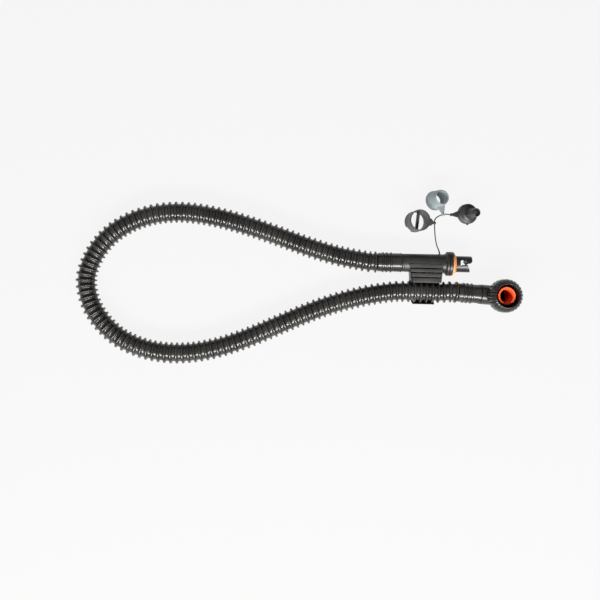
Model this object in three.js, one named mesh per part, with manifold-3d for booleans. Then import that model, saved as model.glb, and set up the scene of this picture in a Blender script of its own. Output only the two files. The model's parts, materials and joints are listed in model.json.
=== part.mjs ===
// Inflation hose for a paddle board or kayak pump, lying in a loop with its valve connector clipped to the
// hose beside the pump elbow. Millimetres, +Z up. The origin is the middle of the fittings' footprint on
// the surface that the hose lies on.
import * as THREE from "three";
import { mergeVertices } from "three/addons/utils/BufferGeometryUtils.js";
import Module from "manifold-3d";

// ---- Driving dimensions -------------------------------------------------------------------------
const GAP = 0.3; // between two pieces that touch
const ROUND = 24; // sides of a turned piece

// Hose: the corrugated wall is stood for by a plain tube at the fin tips.
const HOSE_RADIUS = 15.3;
const HOSE_BORE = 13.1;
const HOSE_SIDES = 12;
const HOSE_STEPS = 48;
const HOSE_ROUTE = [
  [-99.2, -14.4, 17], [-107.2, -14.2, 17], [-121.5, -12, 16.7], [-154.5, -5.3, 15.7],
  [-186.7, 4.2, 15], [-218.5, 15.2, 15], [-250.1, 26.6, 15], [-282, 37.2, 15],
  [-314.4, 46.3, 15], [-347.3, 52.9, 15], [-380.7, 55.4, 15], [-414.2, 51.5, 15],
  [-445.8, 40.6, 15], [-473.8, 22, 15], [-494.8, -4.4, 15], [-505.8, -36, 15],
  [-500.7, -69.2, 15], [-483.6, -98, 15], [-458.6, -120.4, 15], [-428.1, -134.4, 15],
  [-395, -140.9, 15], [-361.4, -140.9, 15], [-328.4, -135.4, 15], [-296, -125.9, 15],
  [-264.7, -114, 15], [-233.7, -100.8, 15], [-202.7, -87.9, 15], [-171.2, -76.2, 15],
  [-139, -66.9, 15], [-106.1, -59.8, 15.6], [-73, -55.6, 16.9], [-57, -55.6, 17.3],
  [-31, -56.3, 17.3], [-12, -56.78, 17.32], [-3.5, -56.5, 17.8], [4.8, -56.15, 18],
  [12.8, -56.8, 17.5],
];

// Cuffs moulded on the hose's two ends, each over the spigot of its fitting.
const CUFF_LENGTH = 34;
const ELBOW_CUFF_LENGTH = 31.8;
const CUFF_RADIUS = 13;
const CUFF_BORE = 10.8;
const CUFF_RIDGES = [7.7, 13, 18.9]; // from the hose's end
const RIDGE_WIDTH = 2.2;
const RIDGE_HEIGHT = 1.1;
const SPIGOT_RADIUS = 10.5;
const SPIGOT_LENGTH = 26;

// Valve connector, along its own +X from the hose's end.
const CONNECTOR_AT = [-99.2, -14.4, 17];
const CONNECTOR_TURN = -1.5; // degrees about +Z
const AIR_BORE = 8.8;
const BARREL_START = CUFF_LENGTH + 2 * GAP;
const BARREL_END = 99.7;
const FLANGE_RADIUS = 16.8;
const FLANGE_THICKNESS = 3.2;
const NOZZLE_START = 100;
const NOZZLE_FACE = 104.3; // front face of the nozzle's own flange
const NOZZLE_NECK = 10.7;
const NOZZLE_RADIUS = 11.2;
const NOZZLE_BORE = 9;
const NOZZLE_COLLAR = 110;
const NOZZLE_END = 131.3;
const GASKET_BORE = 11;
const GASKET_LIP = 11.6;

// Grip and hose clip, moulded on the barrel's side.
const CLIP_Y = -40.1; // the hose's axis, seen from the barrel's
const CLIP_Z = 0.3;
const CLIP_BORE = 15.75;
const CLIP_WALL = 1.5;
const GRIP_TOP = 13.4;
const GRIP_GROOVES = [-7.6, -13.6, -20.2];
const GROOVE_WIDTH = 1.3;
const GROOVE_DEPTH = 1.1;
const BAND_FROM = 49;
const BAND_TO = 83;

// Pump elbow, along its own +X from the hose's end, with its riser square to the pipe.
const ELBOW_AT = [12.8, -56.8, 17.5];
const ELBOW_TURN = -4.7; // degrees about +Z
const ELBOW_DROP = 3.5; // degrees that the pipe slopes down
const PIPE_RADIUS = 13.7;
const RISER_X = 61;
const RISER_RADIUS = 13.2;
const RISER_FLANGE = 15.1;
const RISER_TOP = 21.5; // heights in the elbow are from the hose's axis
const RISER_FLANGE_LOW = 18.4;
const SEAT_RADIUS = 12.6;
const SEAT_DEPTH = 9;
const SLEEVE_RADIUS = 12.3;
const SLEEVE_BORE = 8.9;
const SLEEVE_TOP = 31.7;

// Collar nut on the riser, with its shoulder's [radius, height] points.
const NUT_LOW = 14.2;
const NUT_RADIUS = 23;
const NUT_SHOULDER = [[23, 28.5], [22.3, 31.8], [20.4, 35.2], [17.1, 38.6]];
const NUT_TOP = 38.6;
const NUT_RIDGES = 26;
const NUT_RIDGE_DEPTH = 0.045; // of the radius
const NUT_LIP_BORE = 13.6;
const NUT_LIP_TOP = 17.8;
const NUT_BORE = 15.6;
const NUT_MOUTH = 15.9;

// Tether and the three spare valve adapters on it.
const TETHER_RADIUS = 0.8;
const TETHER_SIDES = 8;
const TETHER_STEPS = 30;
const EYELET_RADIUS = 2.1;
const EYELET_BORE = 1.3;
const EYELET_LENGTH = 3.6;
const TAB_THICKNESS = 1.6;
const PLUG_AT = [86.8, 13.1]; // on the barrel's side, along and across the connector
const TETHER_ROUTE = [
  [-12.1, -2.7, 17], [-12.3, -0.7, 17], [-13.3, 2.4, 17.2], [-15.4, 7, 17.9], [-18, 17, 19.7],
  [-19.3, 27.2, 21.5], [-19.9, 36.2, 22.9], [-19.9, 39.5, 23], [-19.9, 42.8, 22.9],
  [-17.8, 46.4, 21.8], [-14, 49.2, 20.2], [-10.3, 50.9, 19], [-7.1, 51.6, 18.85],
  [-3.9, 52.2, 18.5], [-0.8, 52.2, 17.6], [1.9, 52, 16.55],
];
const RING = { eyelet: [-19.9, 39.5, 23], swing: 90, heading: -10, tilt: 11, towards: 4 };
const CONE = { eyelet: [-7.1, 51.6, 18.85], swing: 11, heading: -76, tilt: 17, towards: 18 };
const TIP = { eyelet: [4.5, 51.8, 16.4], heading: 184, tilt: 15, towards: -5 };

// ---- Helpers ------------------------------------------------------------------------------------
const wasm = await Module();
wasm.setup();
const rad = THREE.MathUtils.degToRad;

// A closed three.js geometry as a manifold-3d solid.
function solid(geometry) {
  const plain = geometry.index ? geometry.toNonIndexed() : geometry.clone();
  plain.deleteAttribute("normal");
  plain.deleteAttribute("uv");
  const merged = mergeVertices(plain, 1e-4);
  return new wasm.Manifold(
    new wasm.Mesh({
      numProp: 3,
      vertProperties: merged.attributes.position.array,
      triVerts: new Uint32Array(merged.index.array),
    }),
  );
}

// A manifold-3d solid as a three.js geometry.
function geometryOf(made) {
  const mesh = made.getMesh();
  const geometry = new THREE.BufferGeometry();
  geometry.setAttribute("position", new THREE.BufferAttribute(mesh.vertProperties, 3));
  geometry.setIndex(new THREE.BufferAttribute(mesh.triVerts, 1));
  geometry.computeVertexNormals();
  return geometry;
}

// A solid turned about +Z from [radius, height] points, which run up the outside and down the inside.
function turned(points, sides = ROUND) {
  const outline = points.map(([r, z]) => new THREE.Vector2(r, z));
  const closed = points[0][0] === 0 ? outline : [...outline, outline[0].clone()];
  return new THREE.LatheGeometry(closed, sides).rotateX(Math.PI / 2);
}

// The same about +X, with the heights along X.
const turnedX = (points, sides = ROUND) => turned(points, sides).rotateY(Math.PI / 2);

// A flat outline of [x, y] points, thick along +Z from low to high.
function plate(points, low, high) {
  const outline = new THREE.Shape(points.map(([x, y]) => new THREE.Vector2(x, y)));
  const body = new THREE.ExtrudeGeometry(outline, { depth: high - low, bevelEnabled: false });
  return body.translate(0, 0, low);
}

// An outline of [y, z] points, thick along +X from low to high.
const slab = (points, low, high) =>
  plate(points, low, high).applyMatrix4(
    new THREE.Matrix4().makeBasis(
      new THREE.Vector3(0, 1, 0), new THREE.Vector3(0, 0, 1), new THREE.Vector3(1, 0, 0)));

// Points on an arc about [x, y], from one angle to another in degrees.
function arc(x, y, radius, from, to, steps) {
  return Array.from({ length: steps + 1 }, (_, i) => {
    const a = rad(from + ((to - from) * i) / steps);
    return [x + radius * Math.cos(a), y + radius * Math.sin(a)];
  });
}

// A turned outline with a rounded rim, between two heights at one radius.
const rim = (radius, low, high) => {
  const half = (high - low) / 2;
  return arc(radius - half, low + half, half, -80, 80, 4);
};

// A tube along a route, with one of its flats down; bore 0 makes a solid cord.
function tube(route, radius, bore, sides, steps) {
  const circle = (r, Path) =>
    new Path(Array.from({ length: sides }, (_, i) => {
      const a = (2 * Math.PI * (i + 0.5)) / sides;
      return new THREE.Vector2(r * Math.cos(a), r * Math.sin(a));
    }));
  const section = circle(radius, THREE.Shape);
  if (bore > 0) section.holes.push(circle(bore, THREE.Path));
  const points = route.map((p) => new THREE.Vector3(...p));
  const extrudePath = new THREE.CatmullRomCurve3(points, false, "centripetal");
  return new THREE.ExtrudeGeometry(section, { steps, extrudePath, bevelEnabled: false });
}

function piece(name, geometry, color, roughness, metalness = 0) {
  const mesh = new THREE.Mesh(geometry, new THREE.MeshStandardMaterial({ color, roughness, metalness }));
  mesh.name = name;
  return mesh;
}

const BLACK = "#1b1a19";
const GREY = "#3c3b3a";
const SMOKE = "#8f989a";
const ORANGE = "#ee8f45";
const RED_ORANGE = "#f0552c";

// ---- Hose ---------------------------------------------------------------------------------------
function hoseTube() {
  const route = HOSE_ROUTE.map((p) => [...p]);
  for (const [end, next] of [[0, 1], [route.length - 1, route.length - 2]]) {
    const inward = new THREE.Vector3(...route[next]).sub(new THREE.Vector3(...route[end])).normalize();
    route[end] = new THREE.Vector3(...route[end]).addScaledVector(inward, GAP / 2).toArray();
  }
  return tube(route, HOSE_RADIUS, HOSE_BORE, HOSE_SIDES, HOSE_STEPS);
}

// A cuff along +X with three ridges and a bead at its outer end.
function cuff(length) {
  const start = GAP;
  const outside = [[CUFF_RADIUS - 0.6, start], [CUFF_RADIUS, start + 0.8]];
  for (const at of CUFF_RIDGES)
    outside.push(
      [CUFF_RADIUS, at - RIDGE_WIDTH / 2], [CUFF_RADIUS + RIDGE_HEIGHT, at - RIDGE_WIDTH / 4],
      [CUFF_RADIUS + RIDGE_HEIGHT, at + RIDGE_WIDTH / 4], [CUFF_RADIUS, at + RIDGE_WIDTH / 2]);
  outside.push(
    [CUFF_RADIUS, length - 2], [CUFF_RADIUS + 0.5, length - 1.2],
    [CUFF_RADIUS + 0.5, length - 0.3], [CUFF_RADIUS, length]);
  return turnedX([...outside, [CUFF_BORE, length], [CUFF_BORE, start]]);
}

// ---- Valve connector ----------------------------------------------------------------------------
const clipCentre = [CLIP_Y, CLIP_Z];

// The grip's cross-section: a saddle over the hose that runs up to the barrel's top.
function gripOutline() {
  const outer = CLIP_BORE + CLIP_WALL;
  const grooves = GRIP_GROOVES.flatMap((y) => {
    const top = gripHeight(y);
    return [
      [y + GROOVE_WIDTH / 2, top], [y + GROOVE_WIDTH / 2, top - GROOVE_DEPTH],
      [y - GROOVE_WIDTH / 2, top - GROOVE_DEPTH], [y - GROOVE_WIDTH / 2, top],
    ];
  });
  return [
    [-5, 0], [-2, 6], [-2, gripHeight(-2)], ...grooves, [-26.6, gripHeight(-26.6)],
    [-27.6, 9.6], [-27.7, 9], ...arc(...clipCentre, CLIP_BORE, 33, -185, 20),
    ...arc(...clipCentre, outer, -185, -50, 12), [-24.5, -11.5], [-18, -9], [-8, -9],
  ];
}

function gripHeight(y) {
  return GRIP_TOP + 0.1 * (y + 2);
}

function connectorBody() {
  const flangeLow = BARREL_END - FLANGE_THICKNESS;
  const barrel = solid(turnedX([
    [SPIGOT_RADIUS - 0.8, BARREL_START - SPIGOT_LENGTH], [SPIGOT_RADIUS, BARREL_START - SPIGOT_LENGTH + 1.5],
    [SPIGOT_RADIUS, BARREL_START], [12.2, BARREL_START], [12.5, BARREL_START + 0.6],
    [12.5, BARREL_START + 2], [12.9, 70], [13.1, 92.4], [13.6, 94.2], [15, 95.8],
    [15.9, flangeLow], ...rim(FLANGE_RADIUS, flangeLow, BARREL_END),
    [10.4, BARREL_END], [10.4, 93], [AIR_BORE, 93], [AIR_BORE, BARREL_START - SPIGOT_LENGTH],
  ]));
  const grip = solid(slab(gripOutline(), 42, 92));
  const gripPlan = solid(plate([
    [42.4, 2], [50.3, -28], [50.3, -33], [90.5, -33], [88.8, -28], [91.2, 2],
  ], -30, 30));
  const bandPlan = solid(plate([
    [45.5, -12], [BAND_FROM - 2, -30], [BAND_FROM, -50], [BAND_FROM + 3, -60],
    [BAND_TO - 3, -60], [BAND_TO, -50], [88.8, -30], [90.5, -12],
  ], -30, 9.5));
  const trimmed = grip.intersect(gripPlan.add(bandPlan));
  const bore = solid(turnedX([[0, 20], [11, 20], [11, 92], [0, 92]]));
  const pocket = solid(slab([[-15.2, -12], [-15.2, 8.5], [-22, 8], [-22, -4], [-20, -12]], 50, 83));
  const socket = solid(turned([[0, 9.5], [2.2, 9.5], [2.2, 16], [0, 16]], 16)
    .rotateX(-Math.PI / 2).translate(PLUG_AT[0], 0, 0));
  return barrel.add(trimmed.subtract(bore).subtract(pocket)).subtract(socket);
}

// The planform that the slots leave of the nozzle: a hooked prong, a pointed prong and the collar.
const NOZZLE_PLAN = [
  [98, -20], [114.8, -20], [127, -20], [128.9, -10.6], [126.2, -4.6], [125.2, -2.2], [123.6, -0.9],
  [121.4, -0.5], [119.6, -1.5], [118.4, -3.2], [114.9, -4.4], [114.9, 4.2], [122.2, 6.6],
  [122.4, 3.4], [123.6, 1.4], [125.6, 0.4], [128, 0.4], [130, 1.8], [131.3, 4.4], [131.3, 9.4],
  [129.6, 12], [129.6, 20], [98, 20],
];

function bayonetNozzle() {
  const body = solid(turnedX([
    [10.1, 94], [10.1, NOZZLE_START], ...rim(FLANGE_RADIUS, NOZZLE_START, NOZZLE_FACE),
    [NOZZLE_NECK, NOZZLE_FACE], [NOZZLE_NECK, NOZZLE_COLLAR], [NOZZLE_RADIUS, NOZZLE_COLLAR],
    [NOZZLE_RADIUS, NOZZLE_END], [NOZZLE_BORE, NOZZLE_END], [NOZZLE_BORE, 100], [AIR_BORE - 1, 100],
    [AIR_BORE - 1, 94],
  ]));
  const groove = solid(turnedX([[12, 95.4], [12, 97.4], [9.2, 97.4], [9.2, 95.4]]));
  const back = solid(turnedX([[0, 92], [20, 92], [20, 112], [0, 112]]));
  return body.intersect(solid(plate(NOZZLE_PLAN, -20, 20)).add(back)).subtract(groove);
}

const nozzleRing = () =>
  turnedX([[10.2, 95.7], [10.2, 97.1], [9.5, 97.1], [9.5, 95.7]]);

const valveGasket = () => turnedX([
  [FLANGE_RADIUS - 0.6, NOZZLE_FACE + GAP], [FLANGE_RADIUS, NOZZLE_FACE + GAP + 0.6],
  [FLANGE_RADIUS - 0.4, NOZZLE_FACE + 1.8], [GASKET_LIP, NOZZLE_COLLAR - 0.6],
  [GASKET_BORE, NOZZLE_COLLAR - 0.6], [GASKET_BORE, NOZZLE_FACE + GAP],
]);

// The tether's button, pressed in the barrel's side, which the tether grows from.
const tetherPlug = () =>
  turned([[0, 9.8], [1.9, 9.8], [1.9, 13.3], [1.6, 13.6], [0, 13.6]], 16)
    .rotateX(-Math.PI / 2).translate(PLUG_AT[0], 0, 0);

// ---- Pump elbow ---------------------------------------------------------------------------------
function elbowBody() {
  const start = ELBOW_CUFF_LENGTH + 2 * GAP;
  const pipe = solid(turnedX([
    [SPIGOT_RADIUS - 0.8, start - SPIGOT_LENGTH], [SPIGOT_RADIUS, start - SPIGOT_LENGTH + 1.5],
    [SPIGOT_RADIUS, start], [PIPE_RADIUS - 0.4, start], [PIPE_RADIUS, start + 0.5],
    [PIPE_RADIUS, RISER_X], [AIR_BORE, RISER_X], [AIR_BORE, start - SPIGOT_LENGTH],
  ]));
  const knee = solid(new THREE.SphereGeometry(PIPE_RADIUS, ROUND, 12).rotateX(Math.PI / 2)
    .translate(RISER_X, 0, 0));
  const riser = solid(turned([
    [0, 0], [PIPE_RADIUS, 0], [PIPE_RADIUS, NUT_LOW - 2], [RISER_RADIUS, NUT_LOW - 1],
    [RISER_RADIUS, RISER_FLANGE_LOW], [RISER_FLANGE, RISER_FLANGE_LOW],
    [RISER_FLANGE, RISER_TOP - 0.4], [RISER_FLANGE - 0.4, RISER_TOP], [0, RISER_TOP],
  ]).translate(RISER_X, 0, 0));
  const across = solid(turnedX([
    [0, start - SPIGOT_LENGTH - 1], [AIR_BORE, start - SPIGOT_LENGTH - 1], [AIR_BORE, RISER_X], [0, RISER_X],
  ]));
  const inside = solid(new THREE.SphereGeometry(AIR_BORE, ROUND, 10).rotateX(Math.PI / 2)
    .translate(RISER_X, 0, 0));
  const up = solid(turned([
    [0, 0], [AIR_BORE, 0], [AIR_BORE, RISER_TOP - SEAT_DEPTH], [SEAT_RADIUS, RISER_TOP - SEAT_DEPTH],
    [SEAT_RADIUS, RISER_TOP + 1], [0, RISER_TOP + 1],
  ]).translate(RISER_X, 0, 0));
  return pipe.add(knee).add(riser).subtract(across).subtract(inside).subtract(up);
}

function sealSleeve() {
  const low = RISER_TOP - SEAT_DEPTH + GAP;
  return turned([
    [SLEEVE_RADIUS, low], [SLEEVE_RADIUS, SLEEVE_TOP - 1], [SLEEVE_RADIUS - 0.8, SLEEVE_TOP],
    [SLEEVE_BORE + 1, SLEEVE_TOP], [SLEEVE_BORE, SLEEVE_TOP - 1], [SLEEVE_BORE, low],
  ]).translate(RISER_X, 0, 0);
}

// The nut's outside with its rounded shoulder, ridged all round, cut by its lip bore and threaded bore.
function collarNut() {
  const perRidge = 4;
  const sides = NUT_RIDGES * perRidge;
  const outside = turned([[0, NUT_LOW], [NUT_RADIUS, NUT_LOW], ...NUT_SHOULDER, [0, NUT_TOP]], sides);
  const place = outside.getAttribute("position");
  for (let i = 0; i < place.count; i++) {
    const side = Math.round((Math.atan2(place.getY(i), place.getX(i)) * sides) / (2 * Math.PI));
    const shrink = side % perRidge === 0 ? 1 - NUT_RIDGE_DEPTH : 1;
    place.setXY(i, place.getX(i) * shrink, place.getY(i) * shrink);
  }
  const inside = solid(turned([
    [0, NUT_LOW - 1], [NUT_LIP_BORE, NUT_LOW - 1], [NUT_LIP_BORE, NUT_LIP_TOP], [NUT_BORE, NUT_LIP_TOP],
    [NUT_BORE, NUT_TOP - 1], [NUT_MOUTH, NUT_TOP - 0.4], [NUT_MOUTH, NUT_TOP + 1], [0, NUT_TOP + 1],
  ], 32));
  return geometryOf(solid(outside).subtract(inside)).translate(RISER_X, 0, 0);
}

// ---- Adapters -----------------------------------------------------------------------------------
// A tab from an adapter's wall to its eyelet, at a height on the adapter's axis, along its own +X.
function tab(from, reach, width, height) {
  return solid(plate(
    [[from, -width / 2], [reach - EYELET_RADIUS, -EYELET_RADIUS * 0.8], [reach, -EYELET_RADIUS * 0.6],
     [reach, EYELET_RADIUS * 0.6], [reach - EYELET_RADIUS, EYELET_RADIUS * 0.8], [from, width / 2]],
    height - TAB_THICKNESS / 2, height + TAB_THICKNESS / 2));
}

// A pose that leans the adapter's axis and puts its eyelet's middle at the eyelet point.
function adapterPose({ eyelet, heading, tilt, towards }, reach, height) {
  const lean = new THREE.Matrix4().makeRotationZ(rad(towards))
    .multiply(new THREE.Matrix4().makeRotationY(rad(tilt)))
    .multiply(new THREE.Matrix4().makeRotationZ(rad(heading - towards)));
  const at = new THREE.Vector3(reach, 0, height).applyMatrix4(lean);
  return lean.setPosition(eyelet[0] - at.x, eyelet[1] - at.y, eyelet[2] - at.z);
}

// A bead threaded on the tether, with its bore level and turned to a heading.
function bead({ eyelet, swing }) {
  const make = (radius, length) =>
    solid(turnedX([[0, -length / 2], [radius * 0.8, -length / 2], [radius, -length / 4],
      [radius, length / 4], [radius * 0.8, length / 2], [0, length / 2]], 12)
      .rotateZ(rad(swing)).translate(...eyelet));
  const hole = solid(turnedX([[0, -4], [EYELET_BORE, -4], [EYELET_BORE, 4], [0, 4]], 12)
    .rotateZ(rad(swing)).translate(...eyelet));
  return [make(EYELET_RADIUS, EYELET_LENGTH), hole];
}

function beaded(body, place, reach, height) {
  const posed = solid(geometryOf(body).applyMatrix4(adapterPose(place, reach, height)));
  const [outside, hole] = bead(place);
  return posed.add(outside).subtract(hole);
}

function ringAdapter() {
  const radius = 14.8;
  const bore = 13.3;
  const height = 26;
  const reach = 21.2;
  const tabHeight = 24.6;
  const wall = turned([
    [radius - 0.4, 0], [radius, 0.5], [radius, height - 0.5], [radius - 0.4, height],
    [bore + 0.3, height], [bore, height - 0.4], [bore, 0.4], [bore + 0.3, 0]]);
  const bar = solid(plate([[-1.6, -13.7], [1.6, -13.7], [1.6, 13.7], [-1.6, 13.7]], 10, 16)
    .rotateZ(rad(2)));
  const notch = solid(plate([[-20, -4], [-10, -4], [-10, 4], [-20, 4]], -1, 4.5).rotateZ(rad(58)));
  const body = solid(wall).add(bar).subtract(notch).add(tab(bore + 0.6, reach, 10.5, tabHeight));
  return beaded(body, RING, reach, tabHeight);
}

function coneAdapter() {
  const wide = 13.9;
  const narrow = 10.4;
  const height = 25;
  const wall = 1.3;
  const hole = 8.6;
  const reach = 23.1;
  const tabHeight = 15;
  const outside = solid(turned([
    [0, 0], [wide - 0.4, 0], [wide, 0.6], [wide, 2.4], [wide - 0.5, 2.8], [narrow + 0.9, height - 4],
    [narrow, height - 0.4], [narrow - 0.3, height], [0, height]]));
  const inside = solid(turned([
    [0, -1], [hole, -1], [hole, 1.2], [wide - 0.5 - wall, 2.8], [narrow + 0.9 - wall, height - 4],
    [narrow - wall, height - 1], [narrow - wall, height + 1], [0, height + 1]]));
  const body = outside.add(tab(8.8, reach, 12.5, tabHeight)).subtract(inside);
  return beaded(body, CONE, reach, tabHeight);
}

function nozzleAdapter() {
  const base = 14.1;
  const reach = 26;
  const tabHeight = 6.4;
  const tipRadius = 5.9;
  const height = 33;
  const bore = 4.2;
  const shell = turned([
    [base - 0.4, 0], [base, 0.5], [base, 7], [base - 0.8, 8], [9, 9.6], [7.4, 10.4], [6.5, 12],
    [tipRadius, height - 1], [tipRadius - 0.8, height], [bore + 0.6, height], [bore, height - 0.8],
    [bore, 9.4], [12.2, 6.4], [12.7, 5.8], [12.7, 0.4], [13.1, 0]]);
  const lug = solid(plate(arc(0, 0, 1.3, 0, 330, 11), 3, 6).translate(1.2, 14.5, 0));
  const body = solid(shell).add(lug).add(tab(13.2, reach, 10, tabHeight));
  const posed = solid(geometryOf(body).applyMatrix4(adapterPose(TIP, reach, tabHeight)));
  const knob = solid(turned([[0, -1.7], [1.7, -1.7], [2.1, -1], [2.1, 1], [1.7, 1.7], [0, 1.7]], 20)
    .translate(...TIP.eyelet));
  return posed.add(knob);
}

// ---- Assembly -----------------------------------------------------------------------------------
const connector = new THREE.Group();
connector.position.set(...CONNECTOR_AT);
connector.rotation.z = rad(CONNECTOR_TURN);
connector.add(
  piece("connector_cuff", cuff(CUFF_LENGTH), GREY, 0.45),
  piece("connector_body", geometryOf(connectorBody()), GREY, 0.5),
  piece("bayonet_nozzle", geometryOf(bayonetNozzle()), BLACK, 0.4),
  piece("nozzle_ring", nozzleRing(), BLACK, 0.7),
  piece("valve_gasket", valveGasket(), ORANGE, 0.6),
  piece("tether_plug", tetherPlug(), BLACK, 0.6),
);

const elbow = new THREE.Group();
elbow.position.set(...ELBOW_AT);
elbow.rotation.set(0, rad(ELBOW_DROP), rad(ELBOW_TURN), "ZYX");
elbow.add(
  piece("elbow_cuff", cuff(ELBOW_CUFF_LENGTH), GREY, 0.45),
  piece("elbow_body", geometryOf(elbowBody()), GREY, 0.45),
  piece("seal_sleeve", sealSleeve(), RED_ORANGE, 0.5),
  piece("collar_nut", collarNut(), BLACK, 0.35),
);

const assembly = new THREE.Group();
assembly.add(
  piece("hose_tube", hoseTube(), BLACK, 0.5),
  piece("tether_cord", tube(TETHER_ROUTE, TETHER_RADIUS, 0, TETHER_SIDES, TETHER_STEPS), BLACK, 0.7),
  piece("ring_adapter", geometryOf(ringAdapter()), GREY, 0.5),
  piece("cone_adapter", geometryOf(coneAdapter()), SMOKE, 0.45),
  piece("nozzle_adapter", geometryOf(nozzleAdapter()), GREY, 0.5),
  connector,
  elbow,
);

export default assembly;
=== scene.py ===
"""Looks for the inflation pump hose: a finned hose in a loop, its valve connector, its pump elbow with a
collar nut, and three spare adapters on a tether. Sizes are in millimetres until a mesh is made."""

import json
import math

import bmesh
import bpy
from mathutils import Matrix, Vector


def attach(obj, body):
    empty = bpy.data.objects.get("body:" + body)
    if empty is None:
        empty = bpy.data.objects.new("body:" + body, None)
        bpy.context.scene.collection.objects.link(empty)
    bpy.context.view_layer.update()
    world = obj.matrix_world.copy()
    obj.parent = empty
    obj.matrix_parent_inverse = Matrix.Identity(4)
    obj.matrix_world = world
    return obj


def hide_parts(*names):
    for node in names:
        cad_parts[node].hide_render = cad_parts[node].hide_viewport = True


MM = 0.001
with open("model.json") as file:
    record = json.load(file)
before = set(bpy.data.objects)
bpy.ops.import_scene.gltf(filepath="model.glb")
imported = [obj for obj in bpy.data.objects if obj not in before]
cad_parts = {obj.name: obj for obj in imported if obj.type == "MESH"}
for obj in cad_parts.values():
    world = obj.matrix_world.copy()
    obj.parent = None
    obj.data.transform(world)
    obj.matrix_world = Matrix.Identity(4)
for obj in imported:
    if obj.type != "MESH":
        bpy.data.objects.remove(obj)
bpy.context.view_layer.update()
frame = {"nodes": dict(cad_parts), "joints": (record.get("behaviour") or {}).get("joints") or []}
joints = {joint["name"]: joint for joint in frame["joints"]}

# ---- Camera ------------------------------------------------------------------------------------------
camera = bpy.data.objects.new("camera", bpy.data.cameras.new("camera"))
camera.data.lens = 50
camera.data.sensor_width = 36
camera.location = (-0.207, -0.0675, 1.182)
bpy.context.scene.collection.objects.link(camera)
bpy.context.scene.camera = camera

# ---- Sizes shared with the CAD, in millimetres -------------------------------------------------------
HOSE_ROUTE = [
    (-99.2, -14.4, 17), (-107.2, -14.2, 17), (-121.5, -12, 16.7), (-154.5, -5.3, 15.7),
    (-186.7, 4.2, 15), (-218.5, 15.2, 15), (-250.1, 26.6, 15), (-282, 37.2, 15),
    (-314.4, 46.3, 15), (-347.3, 52.9, 15), (-380.7, 55.4, 15), (-414.2, 51.5, 15),
    (-445.8, 40.6, 15), (-473.8, 22, 15), (-494.8, -4.4, 15), (-505.8, -36, 15),
    (-500.7, -69.2, 15), (-483.6, -98, 15), (-458.6, -120.4, 15), (-428.1, -134.4, 15),
    (-395, -140.9, 15), (-361.4, -140.9, 15), (-328.4, -135.4, 15), (-296, -125.9, 15),
    (-264.7, -114, 15), (-233.7, -100.8, 15), (-202.7, -87.9, 15), (-171.2, -76.2, 15),
    (-139, -66.9, 15), (-106.1, -59.8, 15.6), (-73, -55.6, 16.9), (-57, -55.6, 17.3),
    (-31, -56.3, 17.3), (-12, -56.78, 17.32), (-3.5, -56.5, 17.8), (4.8, -56.15, 18),
    (12.8, -56.8, 17.5),
]
TETHER_ROUTE = [
    (-12.1, -2.7, 17), (-12.3, -0.7, 17), (-13.3, 2.4, 17.2), (-15.4, 7, 17.9), (-18, 17, 19.7),
    (-19.3, 27.2, 21.5), (-19.9, 36.2, 22.9), (-19.9, 39.5, 23), (-19.9, 42.8, 22.9),
    (-17.8, 46.4, 21.8), (-14, 49.2, 20.2), (-10.3, 50.9, 19), (-7.1, 51.6, 18.85),
    (-3.9, 52.2, 18.5), (-0.8, 52.2, 17.6), (1.9, 52, 16.55),
]
FIN_PITCH = 8.2
FIN_RADIUS = 15.0
FIN_END = 2.6  # from the hose's end to its first fin's middle
HOSE_WALL = 11.6
HOSE_INSIDE = 10.4
CUFF_LENGTH = 34
ELBOW_CUFF_LENGTH = 31.8
CUFF_RADIUS = 13
CUFF_RIDGES = (7.7, 13, 18.9)
RIDGE_HEIGHT = 1.2
BARREL_START = 34.6
BARREL_END = 99.7
FLANGE_RADIUS = 16.8
AIR_BORE = 8.8
SPIGOT_END = 8.6  # where a fitting's spigot starts inside the hose
SPIGOT = [(9.7, SPIGOT_END), (10.5, 10.1)]  # its chamfered end, as radius and distance
PIPE_RADIUS = 13.7  # of the elbow's pipe, knee and riser
PLUG_X = 86.8  # the tether's plug along the barrel
NUT_RIDGES = 26
NUT_GROOVE = 1.15
TAB_HALF = 0.8  # half the thickness of an adapter's tab
CLIP_Y, CLIP_Z, CLIP_BORE, CLIP_WALL = -40.1, 0.3, 15.75, 1.5
RISER_X = 61
TETHER_RADIUS = 0.8


def turn(degrees, axis):
    """A rotation about one axis."""
    return Matrix.Rotation(math.radians(degrees), 4, axis)


CONNECTOR = Matrix.Translation(HOSE_ROUTE[0]) @ turn(-1.5, "Z")
ELBOW = Matrix.Translation(HOSE_ROUTE[-1]) @ turn(-4.7, "Z") @ turn(3.5, "Y")
ALONG_X = turn(90, "Y")  # lays a piece turned about +Z along +X
KNEE = Matrix.Translation((RISER_X, 0, 0))
RISER = ELBOW @ KNEE
PLUG = Matrix.Translation((PLUG_X, 0, 0)) @ turn(-90, "X")  # points out of the barrel's far side
FLAT = Matrix.Identity(4)


# ---- Mesh helpers ------------------------------------------------------------------------------------
def piece(name, verts, faces, place=FLAT, sharp=38):
    """A mesh object from points in millimetres, put in place and shaded smooth up to the sharp angle."""
    mesh = bpy.data.meshes.new(name)
    mesh.from_pydata([(place @ Vector(v)) * MM for v in verts], [], faces)
    tidy(mesh, sharp)
    made = bpy.data.objects.new(name, mesh)
    bpy.context.scene.collection.objects.link(made)
    return made


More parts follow.
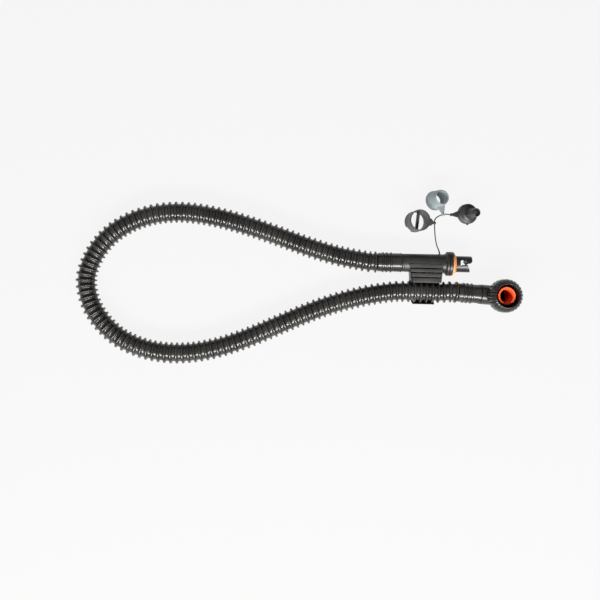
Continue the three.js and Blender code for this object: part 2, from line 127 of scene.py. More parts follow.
def tidy(mesh, sharp=38):
    """Merges doubled points, turns the faces outwards and marks the sharp edges."""
    work = bmesh.new()
    work.from_mesh(mesh)
    bmesh.ops.remove_doubles(work, verts=work.verts, dist=2e-6)
    bmesh.ops.dissolve_degenerate(work, edges=work.edges, dist=1e-6)
    bmesh.ops.recalc_face_normals(work, faces=work.faces)
    work.to_mesh(mesh)
    work.free()
    mesh.shade_smooth()
    mesh.set_sharp_from_angle(angle=math.radians(sharp))


def rounded(points, closed=True, steps=3):
    """The outline with each corner that has a third number rounded to that radius."""
    out = []
    count = len(points)
    for i, point in enumerate(points):
        here = Vector(point[:2])
        radius = point[2] if len(point) > 2 else 0
        at_end = not closed and i in (0, count - 1)
        if radius <= 0 or at_end:
            out.append(here)
            continue
        before = Vector(points[i - 1][:2]) - here
        after = Vector(points[(i + 1) % count][:2]) - here
        half = before.angle(after) / 2
        reach = min(radius / math.tan(half), 0.48 * before.length, 0.48 * after.length)
        start = here + before.normalized() * reach
        end = here + after.normalized() * reach
        for k in range(steps + 1):
            t = k / steps
            out.append(start * (1 - t) ** 2 + here * 2 * t * (1 - t) + end * t**2)
    return out


def lathe(name, outline, place, sides=72, closed=True, sharp=38):
    """A solid turned about +Z from [radius, height, corner radius] points."""
    ring = rounded(outline, closed)
    verts, faces = [], []
    for r, z in ring:
        for k in range(sides):
            a = 2 * math.pi * k / sides
            verts.append((r * math.cos(a), r * math.sin(a), z))
    rows = len(ring)
    for i in range(rows if closed else rows - 1):
        j = (i + 1) % rows
        for k in range(sides):
            n = (k + 1) % sides
            faces.append((i * sides + k, i * sides + n, j * sides + n, j * sides + k))
    return piece(name, verts, faces, place, sharp)


def prism(name, outline, low, high, place, bevel=0.0):
    """A flat outline of (x, y, corner radius) points, thick along +Z, with an optional rounded edge."""
    ring = rounded(outline, True, 4)
    count = len(ring)
    verts = [(x, y, low) for x, y in ring] + [(x, y, high) for x, y in ring]
    faces = [tuple(reversed(range(count))), tuple(range(count, 2 * count))]
    faces += [(i, (i + 1) % count, count + (i + 1) % count, count + i) for i in range(count)]
    made = piece(name, verts, faces, place)
    if bevel:
        round_edges(made, bevel)
    return made


def applied(made, sharp=38):
    """Turns an object's modifiers into its mesh, in place."""
    shape = made.evaluated_get(bpy.context.evaluated_depsgraph_get())
    mesh = bpy.data.meshes.new_from_object(shape)
    made.modifiers.clear()
    old = made.data
    made.data = mesh
    bpy.data.meshes.remove(old)
    tidy(mesh, sharp)


def round_edges(made, width, segments=2, angle=35):
    """Rounds the edges sharper than an angle, by a width in millimetres."""
    bevel = made.modifiers.new("edges", "BEVEL")
    bevel.width = width * MM
    bevel.segments = segments
    bevel.limit_method = "ANGLE"
    bevel.angle_limit = math.radians(angle)
    applied(made)


def combine(made, other, operation):
    """A boolean of two objects, which leaves only the first."""
    boolean = made.modifiers.new("boolean", "BOOLEAN")
    boolean.object = other
    boolean.operation = operation
    boolean.solver = "EXACT"
    bpy.context.view_layer.update()
    applied(made)
    bpy.data.objects.remove(other)
    return made


def planar(made, angle=1.5):
    """Merges the flat faces that booleans leave in pieces."""
    work = bmesh.new()
    work.from_mesh(made.data)
    bmesh.ops.dissolve_limit(work, angle_limit=math.radians(angle), verts=work.verts, edges=work.edges)
    work.to_mesh(made.data)
    work.free()


def smooth_route(route, step):
    """Evenly spaced points on a centripetal Catmull-Rom curve through the route."""
    points = [Vector(p) for p in route]
    points = [2 * points[0] - points[1], *points, 2 * points[-1] - points[-2]]
    dense = []
    for a, b, c, d in zip(points, points[1:], points[2:], points[3:]):
        knots = [0.0]
        for p, q in ((a, b), (b, c), (c, d)):
            knots.append(knots[-1] + math.sqrt((q - p).length))
        for k in range(24):
            t = knots[1] + (knots[2] - knots[1]) * k / 24

            def mix(p, q, i, j):
                span = knots[j] - knots[i]
                return p * ((knots[j] - t) / span) + q * ((t - knots[i]) / span)

            ab, bc, cd = mix(a, b, 0, 1), mix(b, c, 1, 2), mix(c, d, 2, 3)
            dense.append(mix(mix(ab, bc, 0, 2), mix(bc, cd, 1, 3), 1, 2))
    dense.append(points[-2])
    length = [0.0]
    for p, q in zip(dense, dense[1:]):
        length.append(length[-1] + (q - p).length)
    count = max(2, round(length[-1] / step))
    out, i = [], 0
    for k in range(count + 1):
        at = length[-1] * k / count
        while i < len(length) - 2 and length[i + 1] < at:
            i += 1
        out.append(dense[i].lerp(dense[i + 1], (at - length[i]) / (length[i + 1] - length[i])))
    return out, length[-1]


def frames(points):
    """Each point with two crosswise directions, of which the second is as near to +Z as can be."""
    out = []
    for i, p in enumerate(points):
        along = (points[min(i + 1, len(points) - 1)] - points[max(i - 1, 0)]).normalized()
        side = along.cross(Vector((0, 0, 1))).normalized()
        out.append((p, side, side.cross(along).normalized()))
    return out


def swept(rings, sides):
    """Points and faces of a tube through (point, side, up, radius) rings, open at both ends. A hollow one
    ends on its own first ring."""
    verts, faces = [], []
    for p, side, up, r in rings:
        for k in range(sides):
            a = 2 * math.pi * k / sides
            verts.append(p + side * (r * math.cos(a)) + up * (r * math.sin(a)))
    for i in range(len(rings) - 1):
        for k in range(sides):
            n = (k + 1) % sides
            faces.append((i * sides + k, i * sides + n, (i + 1) * sides + n, (i + 1) * sides + k))
    return verts, faces


# ---- Hose and tether ---------------------------------------------------------------------------------
def finned_hose():
    """The corrugated hose: thin rings stand from a thin wall, a pitch apart along the route."""
    tip = FIN_RADIUS
    fin = [
        (-FIN_PITCH / 2, HOSE_WALL), (-3, HOSE_WALL), (-2.3, HOSE_WALL + 0.3), (-1.8, HOSE_WALL + 1),
        (-1.5, HOSE_WALL + 1.9), (-1.3, tip - 0.9), (-0.95, tip - 0.35), (-0.4, tip - 0.05),
        (0.4, tip - 0.05), (0.95, tip - 0.35), (1.3, tip - 0.9), (1.5, HOSE_WALL + 1.9), (1.8, HOSE_WALL + 1),
        (2.3, HOSE_WALL + 0.3), (3, HOSE_WALL),
    ]
    fine = 0.5
    points, length = smooth_route(HOSE_ROUTE, fine)
    axes = frames(points)
    count = round((length - 2 * FIN_END) / FIN_PITCH) + 1
    pitch = (length - 2 * FIN_END) / (count - 1)

    def at(distance):
        spot = min(max(distance / length * (len(points) - 1), 0), len(points) - 1.0001)
        i = int(spot)
        t = spot - i
        (p, s, u), (q, v, w) = axes[i], axes[i + 1]
        return p.lerp(q, t), s.lerp(v, t).normalized(), u.lerp(w, t).normalized()

    rings = [(*at(0.5), HOSE_WALL)]
    for k in range(count):
        middle = FIN_END + pitch * k
        for offset, radius in fin:
            if 0.6 < middle + offset < length - 0.6:
                rings.append((*at(middle + offset), radius))
    rings.append((*at(length - 0.5), HOSE_WALL))
    inner = [(*at(0.5 + (length - 1) * k / count), HOSE_INSIDE) for k in range(count, -1, -1)]
    sides = 48
    verts, faces = swept([*rings, *inner, rings[0]], sides)
    made = piece("hose", verts, faces, sharp=50)
    return made, [tuple(p * MM) for p in points[::4]], length


def tether():
    """The soft cord that the adapters hang on, thicker where it grows from its plug."""
    points, length = smooth_route(TETHER_ROUTE, 0.8)
    rings = []
    for i, (p, side, up) in enumerate(frames(points)):
        root = max(0.0, 1 - i * 0.8 / 6)
        rings.append((p, side, up, TETHER_RADIUS + 0.35 * root**2))
    sides = 16
    verts, faces = swept(rings, sides)
    faces.append(tuple(range(sides)))
    faces.append(tuple(reversed(range(len(verts) - sides, len(verts)))))
    return piece("tether", verts, faces), [tuple(p * MM) for p in points], length


hose, hose_path, hose_length = finned_hose()
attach(hose, "hose_assembly")
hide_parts("hose_tube")

cord, cord_path, cord_length = tether()
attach(cord, "hose_assembly")
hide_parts("tether_cord")


# ---- Cuffs -------------------------------------------------------------------------------------------
def cuff(name, place, length):
    """The soft sleeve moulded on the hose's end, with low rounded ridges and a bead at its outer end."""
    outline = [(10.8, 0.3), (12.2, 0.3, 0.3), (12.9, 1.6, 0.8), (CUFF_RADIUS - 0.1, 3)]
    top = CUFF_RADIUS + RIDGE_HEIGHT
    for at in CUFF_RIDGES:
        outline += [
            (CUFF_RADIUS - 0.15, at - 1.5, 0.3), (top - 0.05, at - 0.85, 0.5), (top - 0.05, at + 0.85, 0.5),
            (CUFF_RADIUS - 0.15, at + 1.5, 0.3),
        ]
    outline += [
        (CUFF_RADIUS, length - 2.4, 0.3), (CUFF_RADIUS + 0.5, length - 1.6, 0.4),
        (CUFF_RADIUS + 0.5, length - 0.5, 0.4), (CUFF_RADIUS, length, 0.2), (10.8, length),
    ]
    return lathe(name, outline, place @ ALONG_X, 80)


# ---- Valve connector ---------------------------------------------------------------------------------
def arc(cx, cy, radius, start, end, steps):
    """Points on an arc between two angles in degrees."""
    return [
        (cx + radius * math.cos(math.radians(start + (end - start) * i / steps)),
         cy + radius * math.sin(math.radians(start + (end - start) * i / steps)))
        for i in range(steps + 1)
    ]


def grip_height(y):
    """The grip plate's top, which drops a little away from the barrel."""
    return 13.4 + 0.1 * (y + 2)


def grip():
    """The grip plate and the hose clip under it, in the connector's own frame."""
    outer = CLIP_BORE + CLIP_WALL
    grooves = []
    for y in (-7.6, -13.6, -20.2):
        top = grip_height(y)
        grooves += [
            (y + 0.8, top, 0.2), (y + 0.55, top - 3.2, 0.3),
            (y - 0.55, top - 3.2, 0.3), (y - 0.8, top, 0.2),
        ]
    outline = [
        (-5, 0), (-2, 6), (-2, grip_height(-2)), *grooves,
        (-26.6, grip_height(-26.6), 0.7), (-27.7, 9.6, 0.6),
        *arc(CLIP_Y, CLIP_Z, CLIP_BORE, 36, -183, 44), (CLIP_Y - outer + 0.3, CLIP_Z + 1.8, 0.4),
        *arc(CLIP_Y, CLIP_Z, outer, -181, -50, 28), (-24.5, -11.5, 2), (-18, -9, 2), (-8, -9),
    ]
    up_x = Matrix(((0, 0, 1, 0), (1, 0, 0, 0), (0, 1, 0, 0), (0, 0, 0, 1)))
    body = prism("grip", outline, 42, 92, up_x)
    plan = prism("plan", [
        (42.4, 2), (50.3, -28, 0.8), (50.3, -33), (90.5, -33), (88.8, -28, 0.8), (91.2, 2),
    ], -30, 30, FLAT)
    band = prism("band", [
        (45.5, -12), (47, -30), (49, -50, 4), (52, -60), (80, -60), (83, -50, 4), (88.8, -30), (90.5, -12),
    ], -30, 9.5, FLAT)
    combine(body, combine(plan, band, "UNION"), "INTERSECT")
    bore = lathe("bore", [(0, 20), (11, 20), (11, 92), (0, 92)], ALONG_X, 48, closed=False)
    combine(body, bore, "DIFFERENCE")
    pocket = prism("pocket", [
        (-15.2, -12), (-15.2, 8.5, 1), (-22, 8, 1), (-22, -4), (-20, -12)], 50, 83, up_x)
    combine(body, pocket, "DIFFERENCE")
    planar(body)
    return body


def connector_body():
    """The barrel with its spigot and flange, joined to the grip, with a hole for the tether's plug."""
    flange = BARREL_END - 3.2
    barrel = lathe("connector_body_piece", [
        *SPIGOT, (10.5, BARREL_START), (12.1, BARREL_START, 0.2), (12.5, BARREL_START + 0.5),
        (12.55, BARREL_START + 2.2, 0.2), (12.25, BARREL_START + 2.6), (12.6, BARREL_START + 3, 0.2),
        (12.9, 70), (13.1, 92.4, 3), (14, 94.8, 1), (15.6, 96, 0.5), (16, flange, 0.3),
        (FLANGE_RADIUS, flange + 0.2, 1), (FLANGE_RADIUS, BARREL_END - 0.2, 1),
        (15.6, BARREL_END, 0.2), (10.4, BARREL_END), (10.4, 93), (AIR_BORE, 93), (AIR_BORE, SPIGOT_END),
    ], ALONG_X, 96)
    body = grip()
    combine(barrel, body, "UNION")
    socket = lathe("socket", [(0, 9.5), (2.2, 9.5), (2.2, 16), (0, 16)],
                   PLUG, 24, closed=False)
    combine(barrel, socket, "DIFFERENCE")
    planar(barrel, 0.8)
    barrel.data.transform(world_scale(CONNECTOR))
    tidy(barrel.data, 32)
    return barrel


def world_scale(place):
    """A placing in millimetres as one that moves a mesh that is already in metres."""
    moved = place.copy()
    moved.translation = place.translation * MM
    return moved


def bayonet():
    """The nozzle that locks in the valve: a flange, a collar and two prongs with hooked slots."""
    shell = lathe("bayonet", [
        (10.1, 94), (10.1, 100), (15.8, 100, 0.2), (FLANGE_RADIUS, 100.2, 1.2), (FLANGE_RADIUS, 104, 1.2),
        (15.6, 104.3, 0.3), (10.7, 104.3), (10.7, 110, 0.2), (11.2, 110.2, 0.2), (11.2, 131, 0.4),
        (10.6, 131.3, 0.3), (9, 131.3, 0.3), (9, 100), (7.8, 100), (7.8, 94),
    ], ALONG_X, 96)
    plan = [
        (98, -20), (114.8, -20), (127, -20), (128.9, -10.6, 2), (126.2, -4.6, 2), (125.2, -2.2, 1.5),
        (123.6, -0.9, 1), (121.4, -0.5, 1), (119.6, -1.5, 1), (118.4, -3.2, 1), (114.9, -4.4, 0.6),
        (114.9, 4.2, 0.8), (122.2, 6.6, 0.8), (122.4, 3.4, 1), (123.6, 1.4, 1), (125.6, 0.4, 1),
        (128, 0.4, 1), (130, 1.8, 1), (131.3, 4.4, 1), (131.5, 9.4, 1.5), (129.6, 12, 1.5), (129.6, 20),
        (98, 20),
    ]
    keep = prism("keep", plan, -20, 20, FLAT)
    back = lathe("back", [(0, 90), (20, 90), (20, 112), (0, 112)], ALONG_X, 24, closed=False)
    combine(keep, back, "UNION")
    combine(shell, keep, "INTERSECT")
    groove = lathe("groove", [(9.2, 95.4), (12, 95.4), (12, 97.4), (9.2, 97.4)], ALONG_X, 48)
    combine(shell, groove, "DIFFERENCE")
    planar(shell, 0.8)
    shell.data.transform(world_scale(CONNECTOR))
    tidy(shell.data, 32)
    return shell


# ---- Pump elbow --------------------------------------------------------------------------------------
def ball(name, radius, step, sides):
    """A sphere where the pipe meets the riser, with a ring of points every step degrees."""
    ring = [
        (radius * math.cos(math.radians(a)), radius * math.sin(math.radians(a)))
        for a in range(-90, 91, step)
    ]
    return lathe(name, [(0, -radius), *ring[1:-1], (0, radius)], KNEE, sides, closed=False)


def elbow_body():
    """The pipe with its rounded knee, the riser square to it with a flange for the nut, and the air way."""
    start = ELBOW_CUFF_LENGTH + 0.6
    pipe = lathe("elbow", [
        *SPIGOT, (10.5, start), (13.2, start, 0.3), (PIPE_RADIUS, start + 0.6, 0.3),
        (PIPE_RADIUS, RISER_X), (AIR_BORE, RISER_X), (AIR_BORE, SPIGOT_END)], ALONG_X, 72)
    knee = ball("knee", PIPE_RADIUS, 5, 72)
    riser = lathe("riser", [
        (0, 0), (PIPE_RADIUS, 0), (PIPE_RADIUS, 12.2, 0.4), (13.2, 13.2, 0.4), (13.2, 18.4),
        (15.1, 18.4, 0.3), (15.1, 21.5, 0.4), (0, 21.5)], KNEE, 72, closed=False)
    across = lathe("across", [
        (0, 7), (AIR_BORE, 7), (AIR_BORE, RISER_X), (0, RISER_X)], ALONG_X, 48, closed=False)
    inside = ball("inside", AIR_BORE, 9, 48)
    up = lathe("up", [
        (0, 0), (AIR_BORE, 0), (AIR_BORE, 12.5), (12.6, 12.5), (12.6, 23), (0, 23)], KNEE, 72, closed=False)
    combine(pipe, knee, "UNION")
    combine(pipe, riser, "UNION")
    combine(pipe, across, "DIFFERENCE")
    combine(pipe, inside, "DIFFERENCE")
    combine(pipe, up, "DIFFERENCE")
    pipe.data.transform(world_scale(ELBOW))
    tidy(pipe.data, 32)
    return pipe


def collar_nut():
    """The nut, with rounded grips round its tapered outside and a smooth funnel inside."""
    each = 12  # points round each ridge
    sides = NUT_RIDGES * each
    rows = [  # radius, height, how much of the groove is cut there
        (13.6, 14.2, 0), (21.4, 14.2, 0), (22.4, 14.5, 0.2), (22.9, 15.2, 0.6), (23, 16.4, 1), (23, 20, 1),
        (23, 25, 1), (22.95, 28, 1), (22.7, 30, 1), (22.2, 31.9, 1), (21.3, 33.8, 1), (20.1, 35.6, 1),
        (18.9, 37, 0.9), (18, 37.8, 0.5), (17.4, 38.2, 0.1), (17, 38.5, 0), (16.7, 38.6, 0), (16.3, 38.6, 0),
        (16.05, 38.45, 0), (15.9, 38.1, 0), (15.75, 37, 0), (15.6, 33, 0), (15.6, 24, 0), (15.6, 17.8, 0),
        (13.6, 17.8, 0),
    ]
    verts, faces = [], []
    for r, z, cut in rows:
        for k in range(sides):
            a = 2 * math.pi * k / sides
            phase = (k % each) / each
            groove = max(0.0, math.cos(2 * math.pi * phase)) ** 1.5
            here = r - NUT_GROOVE * cut * groove
            verts.append((here * math.cos(a), here * math.sin(a), z))
    count = len(rows)
    for i in range(count):
        j = (i + 1) % count
        for k in range(sides):
            n = (k + 1) % sides
            faces.append((i * sides + k, i * sides + n, j * sides + n, j * sides + k))
    return piece("nut_piece", verts, faces, RISER, 40)


# ---- Adapters ----------------------------------------------------------------------------------------
def adapter_place(eyelet, heading, tilt, towards, reach, height):
    """Leans an adapter's axis and puts its eyelet's middle at the eyelet point."""
    lean = turn(towards, "Z") @ turn(tilt, "Y") @ turn(heading - towards, "Z")
    at = lean @ Vector((reach, 0, height))
    return Matrix.Translation(Vector(eyelet) - at) @ lean


def eyelet_of(joint):
    """A joint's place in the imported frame, in millimetres."""
    return Vector(joints[joint]["pos_m"]) / MM


def tab(start, reach, width, height):
    """The tapering tab from an adapter's wall to its eyelet."""
    edge = [
        (start, -width / 2), (start + 2.5, -width / 2 + 0.3, 2), (reach - 2.4, -2.1, 1.5),
        (reach, -1.5, 0.6), (reach, 1.5, 0.6), (reach - 2.4, 2.1, 1.5),
        (start + 2.5, width / 2 - 0.3, 2), (start, width / 2),
    ]
    return prism("tab", edge, height - TAB_HALF, height + TAB_HALF, FLAT, 0.25)


def beaded(body, place, eyelet, swing):
    """Puts an adapter in place with a bead on its tab's end, bored for the tether."""
    body.data.transform(world_scale(place))
    at = Matrix.Translation(eyelet) @ turn(swing, "Z") @ ALONG_X
    bead = lathe("bead", [
        (0, -1.8), (1.4, -1.8, 0.3), (2.1, -1, 0.6), (2.1, 1, 0.6), (1.4, 1.8, 0.3), (0, 1.8)],
        at, 28, closed=False)
    combine(body, bead, "UNION")
    hole = lathe("hole", [(0, -4), (1.25, -4), (1.25, 4), (0, 4)], at, 24, closed=False)
    return combine(body, hole, "DIFFERENCE")


def ring_adapter():
    """A short tube with a cross bar and a notch in its lower edge."""
    wall = lathe("ring_adapter_piece", [
        (14.8, 0, 0.5), (14.8, 3, 0.2), (14.6, 3.4), (14.6, 22.4), (14.8, 22.8, 0.2), (14.8, 26, 0.5),
        (13.3, 26, 0.5), (13.3, 0, 0.5)], FLAT, 96)
    bar = prism("bar", [(-1.6, -13.9), (1.6, -13.9), (1.6, 13.9), (-1.6, 13.9)], 10, 16, turn(2, "Z"), 0.3)
    notch = prism("notch", [(-20, -4), (-10, -4), (-10, 4), (-20, 4)], -1, 4.5, turn(58, "Z"))
    combine(wall, bar, "UNION")
    combine(wall, notch, "DIFFERENCE")
    combine(wall, tab(13.9, 21.2, 10.5, 24.6), "UNION")
    eyelet = eyelet_of("ring_adapter_flip")
    beaded(wall, adapter_place(eyelet, -10, 11, 4, 21.2, 24.6), eyelet, 90)
    return wall


def cone_adapter():
    """A thin tapering tube with a lip turned in at its wide end."""
    outside = lathe("cone_adapter_piece", [
        (0, 0), (13.5, 0, 0.3), (13.9, 0.6, 0.4), (13.9, 2.4, 0.4), (13.4, 2.9, 0.3), (11.3, 21, 1.5),
        (10.4, 24.6, 0.4), (10.1, 25, 0.2), (0, 25)], FLAT, 96, closed=False)
    inside = lathe("inside", [
        (0, -1), (8.6, -1), (8.6, 1.2, 0.3), (12.1, 2.8, 0.5), (10, 21, 1.5), (9.1, 24.4), (9.1, 26),
        (0, 26)], FLAT, 96, closed=False)
    combine(outside, tab(8.8, 23.1, 12.5, 15), "UNION")
    combine(outside, inside, "DIFFERENCE")
    eyelet = eyelet_of("cone_adapter_flip")
    beaded(outside, adapter_place(eyelet, -76, 17, 18, 23.1, 15), eyelet, 11)
    return outside


def nozzle_adapter():
    """A shallow cap that steps in to a narrow nozzle, swinging on a knob."""
    shell = lathe("nozzle_adapter_piece", [
        (13.7, 0, 0.2), (14.1, 0.5, 0.3), (14.1, 7, 0.8), (13.3, 8, 0.8), (9, 9.6, 2), (7.2, 10.6, 2),
        (6.5, 13, 2),
        (5.9, 32, 0.6), (5.2, 33, 0.4), (4.8, 33, 0.3), (4.2, 32.2, 0.3), (4.2, 9.4, 0.5), (12.2, 6.4, 0.6),
        (12.7, 5.8, 0.3), (12.7, 0.4, 0.3), (13.1, 0)], FLAT, 96)
    lug = lathe("lug", [(0, 3), (1.3, 3, 0.3), (1.3, 6, 0.3), (0, 6)],
                Matrix.Translation((1.2, 14.4, 0)), 20, closed=False)
    combine(shell, lug, "UNION")
    combine(shell, tab(13.3, 26, 10, 6.4), "UNION")
    eyelet = eyelet_of("nozzle_adapter_swing")
    shell.data.transform(world_scale(adapter_place(eyelet, 184, 15, -5, 26, 6.4)))
    knob = lathe("knob", [
        (0, -1.7), (1.7, -1.7, 0.3), (2.1, -1, 0.5), (2.1, 1, 0.5), (1.7, 1.7, 0.3), (0, 1.7)],
        Matrix.Translation(eyelet), 28, closed=False)
    return combine(shell, knob, "UNION")


# ---- The pieces on their bodies ----------------------------------------------------------------------
shown = [
    (cuff("cuff_a", CONNECTOR, CUFF_LENGTH), "hose_assembly", "connector_cuff", "cuff"),
    (connector_body(), "hose_assembly", "connector_body", "connector"),
    (bayonet(), "hose_assembly", "bayonet_nozzle", "nozzle"),
    (lathe("gasket", [
        (11, 104.6), (16.2, 104.6, 0.3), (FLANGE_RADIUS, 105.3, 0.5), (16.4, 106.2, 0.8), (12.4, 108.6, 1),
        (11.6, 109.4, 0.3), (11, 109.4)], CONNECTOR @ ALONG_X, 96),
     "hose_assembly", "valve_gasket", "gasket"),
    (lathe("plug", [(0, 9.8), (1.9, 9.8), (1.9, 13.3, 0.3), (1.2, 13.6, 0.2), (0, 13.6)],
           CONNECTOR @ PLUG, 32, closed=False),
     "hose_assembly", "tether_plug", "tether"),
    (cuff("cuff_b", ELBOW, ELBOW_CUFF_LENGTH), "hose_assembly", "elbow_cuff", "cuff"),
    (elbow_body(), "hose_assembly", "elbow_body", "elbow"),
    (lathe("sleeve", [
        (12.3, 12.8), (12.3, 31.2, 0.3), (11.9, 31.7, 0.3), (9.8, 31.7, 0.2), (9.5, 31.2, 0.3),
        (9.3, 24, 2), (8.1, 12), (8.1, -4), (8.6, -4), (8.6, 12.8)],
        RISER, 96), "hose_assembly", "seal_sleeve", "sleeve"),
    (collar_nut(), "nut", "collar_nut", "nut"),
    (ring_adapter(), "ring", "ring_adapter", "adapter_grey"),
    (cone_adapter(), "cone", "cone_adapter", "adapter_smoke"),
    (nozzle_adapter(), "tip", "nozzle_adapter", "adapter_dark"),
]
for made, body, node, slot in shown:
    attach(made, body)
    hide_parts(node)


# ---- Materials ---------------------------------------------------------------------------------------
HOLLOW_REACH = 14 * MM  # how far off a surface still shades a hollow
HOLLOW_DEEP, HOLLOW_OPEN = 0.25, 0.8  # openness where the painted shade is full, and where it ends
# the near-black tone that painted shade gives the hollows
PAINTED_SHADE_TONE = (0.002, 0.002, 0.002, 1)
GRAIN_DEPTH = 0.2 * MM


def plastic(name, dark, light, roughness, grain, grain_size, mottle, painted_shade=0.75, **sockets):
    """Moulded plastic or rubber: mottled between two tones, darkened in its own hollows by painted shade,
    with a fine grain whose size is in millimetres and an uneven gloss."""
    material = bpy.data.materials.new(name)
    material.use_nodes = True
    nodes, links = material.node_tree.nodes, material.node_tree.links
    shader = nodes["Principled BSDF"]
    place = nodes.new("ShaderNodeTexCoord")
    broad = nodes.new("ShaderNodeTexNoise")
    broad.inputs["Scale"].default_value = mottle
    broad.inputs["Detail"].default_value = 5
    links.new(place.outputs["Object"], broad.inputs["Vector"])
    tones = nodes.new("ShaderNodeValToRGB")
    tones.color_ramp.elements[0].position = 0.3
    tones.color_ramp.elements[1].position = 0.72
    tones.color_ramp.elements[0].color = (*dark, 1)
    tones.color_ramp.elements[1].color = (*light, 1)
    links.new(broad.outputs["Fac"], tones.inputs["Fac"])
    # painted shade: ambient occlusion pulls the base colour towards the shade tone in the piece's own hollows
    hollow = nodes.new("ShaderNodeAmbientOcclusion")
    hollow.only_local = True
    hollow.inputs["Distance"].default_value = HOLLOW_REACH
    depth = nodes.new("ShaderNodeMapRange")
    depth.inputs["From Min"].default_value = HOLLOW_DEEP
    depth.inputs["From Max"].default_value = HOLLOW_OPEN
    depth.inputs["To Min"].default_value = painted_shade
    depth.inputs["To Max"].default_value = 0
    links.new(hollow.outputs["AO"], depth.inputs["Value"])
    darkened = nodes.new("ShaderNodeMix")
    darkened.data_type = "RGBA"
    darkened.inputs["B"].default_value = PAINTED_SHADE_TONE
    links.new(depth.outputs["Result"], darkened.inputs["Factor"])
    links.new(tones.outputs["Color"], darkened.inputs["A"])
    links.new(darkened.outputs["Result"], shader.inputs["Base Color"])
    gloss = nodes.new("ShaderNodeMapRange")
    gloss.inputs["To Min"].default_value = roughness - 0.07
    gloss.inputs["To Max"].default_value = roughness + 0.09
    links.new(broad.outputs["Fac"], gloss.inputs["Value"])
    links.new(gloss.outputs["Result"], shader.inputs["Roughness"])
    fine = nodes.new("ShaderNodeTexNoise")
    fine.inputs["Scale"].default_value = 1 / (grain_size * MM)
    fine.inputs["Detail"].default_value = 3
    links.new(place.outputs["Object"], fine.inputs["Vector"])
    bump = nodes.new("ShaderNodeBump")
    bump.inputs["Strength"].default_value = grain
    bump.inputs["Distance"].default_value = GRAIN_DEPTH
    links.new(fine.outputs["Fac"], bump.inputs["Height"])
    links.new(bump.outputs["Normal"], shader.inputs["Normal"])
    for socket, value in sockets.items():
        shader.inputs[socket.replace("_", " ")].default_value = value
    return material


looks = {
    "hose": plastic("hose_plastic", (0.017, 0.016, 0.0145), (0.04, 0.037, 0.033), 0.24, 0.08, 0.9, 30),
    "tether": plastic("tether_rubber", (0.015, 0.015, 0.015), (0.03, 0.03, 0.028), 0.55, 0.2, 0.4, 60),
    "cuff": plastic("cuff_plastic", (0.014, 0.013, 0.012), (0.03, 0.028, 0.026), 0.24, 0.08, 0.7, 40),
    "connector": plastic("connector_plastic", (0.016, 0.0155, 0.015), (0.027, 0.026, 0.025), 0.4, 0.25,
                         0.35, 40),
    "nozzle": plastic("nozzle_plastic", (0.008, 0.008, 0.008), (0.018, 0.018, 0.018), 0.36, 0.15, 0.4, 60),
    "ring_seal": plastic("seal_rubber", (0.01, 0.01, 0.01), (0.02, 0.02, 0.02), 0.6, 0.1, 0.5, 60),
    "gasket": plastic("gasket_rubber", (0.72, 0.25, 0.08), (0.8, 0.33, 0.13), 0.5, 0.15, 0.5, 60, 0.2),
    "elbow": plastic("elbow_plastic", (0.012, 0.0115, 0.011), (0.026, 0.024, 0.022), 0.28, 0.12, 0.5, 40),
    # the sleeve's bore is darkened fully by painted shade
    "sleeve": plastic("sleeve_silicone", (0.78, 0.08, 0.02), (0.88, 0.12, 0.035), 0.42, 0.1, 0.6, 60, 1.0),
    "nut": plastic("nut_plastic", (0.008, 0.0075, 0.007), (0.02, 0.0185, 0.017), 0.26, 0.1, 0.5, 50),
    "adapter_grey": plastic("adapter_grey_plastic", (0.03, 0.029, 0.027), (0.05, 0.048, 0.045), 0.48, 0.2,
                            0.4, 60),
    # the small emission stands in for light through the thin cloudy wall
    "adapter_smoke": plastic("adapter_smoke_plastic", (0.13, 0.155, 0.16), (0.18, 0.21, 0.215), 0.45, 0.12,
                             0.5, 60, 0.1, Emission_Color=(0.25, 0.3, 0.31, 1), Emission_Strength=0.22),
    "adapter_dark": plastic("adapter_dark_plastic", (0.015, 0.015, 0.015), (0.03, 0.03, 0.029), 0.4, 0.18,
                            0.4, 60),
}
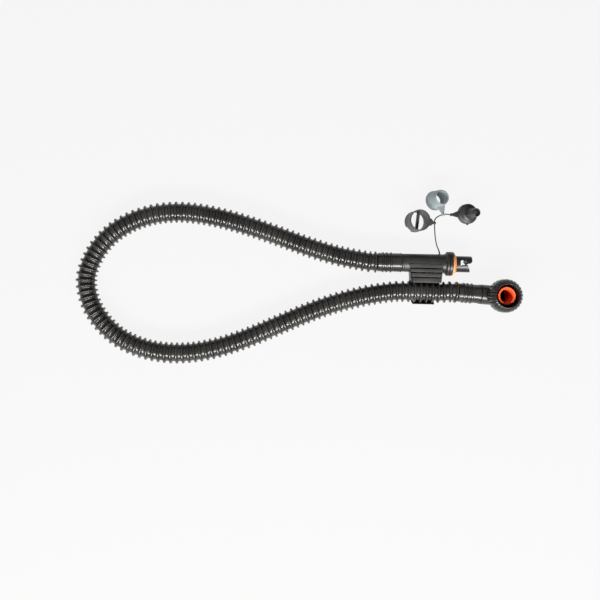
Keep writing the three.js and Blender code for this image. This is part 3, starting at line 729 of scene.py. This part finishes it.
for made, slot in [(hose, "hose"), (cord, "tether"), *((row[0], row[3]) for row in shown)]:
    made.data.materials.clear()
    made.data.materials.append(looks[slot])
for node in frame["nodes"].values():
    if not node.hide_render:
        node.material_slots[0].material = looks["ring_seal"]

# ---- Floor and light ---------------------------------------------------------------------------------
FLOOR_HALF = 40000  # reaches the horizon, above which a low view shows the world
floor = piece("floor", [
    (-FLOOR_HALF, -FLOOR_HALF, 0), (FLOOR_HALF, -FLOOR_HALF, 0), (FLOOR_HALF, FLOOR_HALF, 0),
    (-FLOOR_HALF, FLOOR_HALF, 0)], [(0, 1, 2, 3)])
pale = bpy.data.materials.new("floor_pale")
pale.use_nodes = True
pale_shader = pale.node_tree.nodes["Principled BSDF"]
pale_shader.inputs["Base Color"].default_value = (0.02, 0.02, 0.02, 1)
pale_shader.inputs["Roughness"].default_value = 0.9
pale_shader.inputs["Specular IOR Level"].default_value = 0.1
pale_shader.inputs["Emission Color"].default_value = (1, 1, 1, 1)
pale_shader.inputs["Emission Strength"].default_value = 0.89
floor.data.materials.append(pale)


def softbox(name, away, tilt, width, depth, power):
    """A rectangular light at a distance in metres, leaned by tilt degrees from overhead towards -Y, facing
    the hose."""
    lamp = bpy.data.lights.new(name, "AREA")
    lamp.shape = "RECTANGLE"
    lamp.size = width
    lamp.size_y = depth
    lamp.energy = power
    made = bpy.data.objects.new(name, lamp)
    middle = Vector((-0.2, -0.04, 0))  # of the hose, on the floor
    a = math.radians(tilt)
    made.location = middle + away * Vector((0, -math.sin(a), math.cos(a)))
    made.rotation_euler = (a, 0, 0)
    bpy.context.scene.collection.objects.link(made)


softbox("strip_light", away=1.5, tilt=47, width=2.4, depth=0.32, power=80)
softbox("back_light", away=2.0, tilt=-40, width=2.6, depth=1.8, power=4)
world = bpy.data.worlds.new("studio")
world.use_nodes = True
world.node_tree.nodes["Background"].inputs["Color"].default_value = (0.97, 0.98, 1, 1)
world.node_tree.nodes["Background"].inputs["Strength"].default_value = 0.1
bpy.context.scene.world = world
bpy.context.scene.view_settings.view_transform = "Standard"
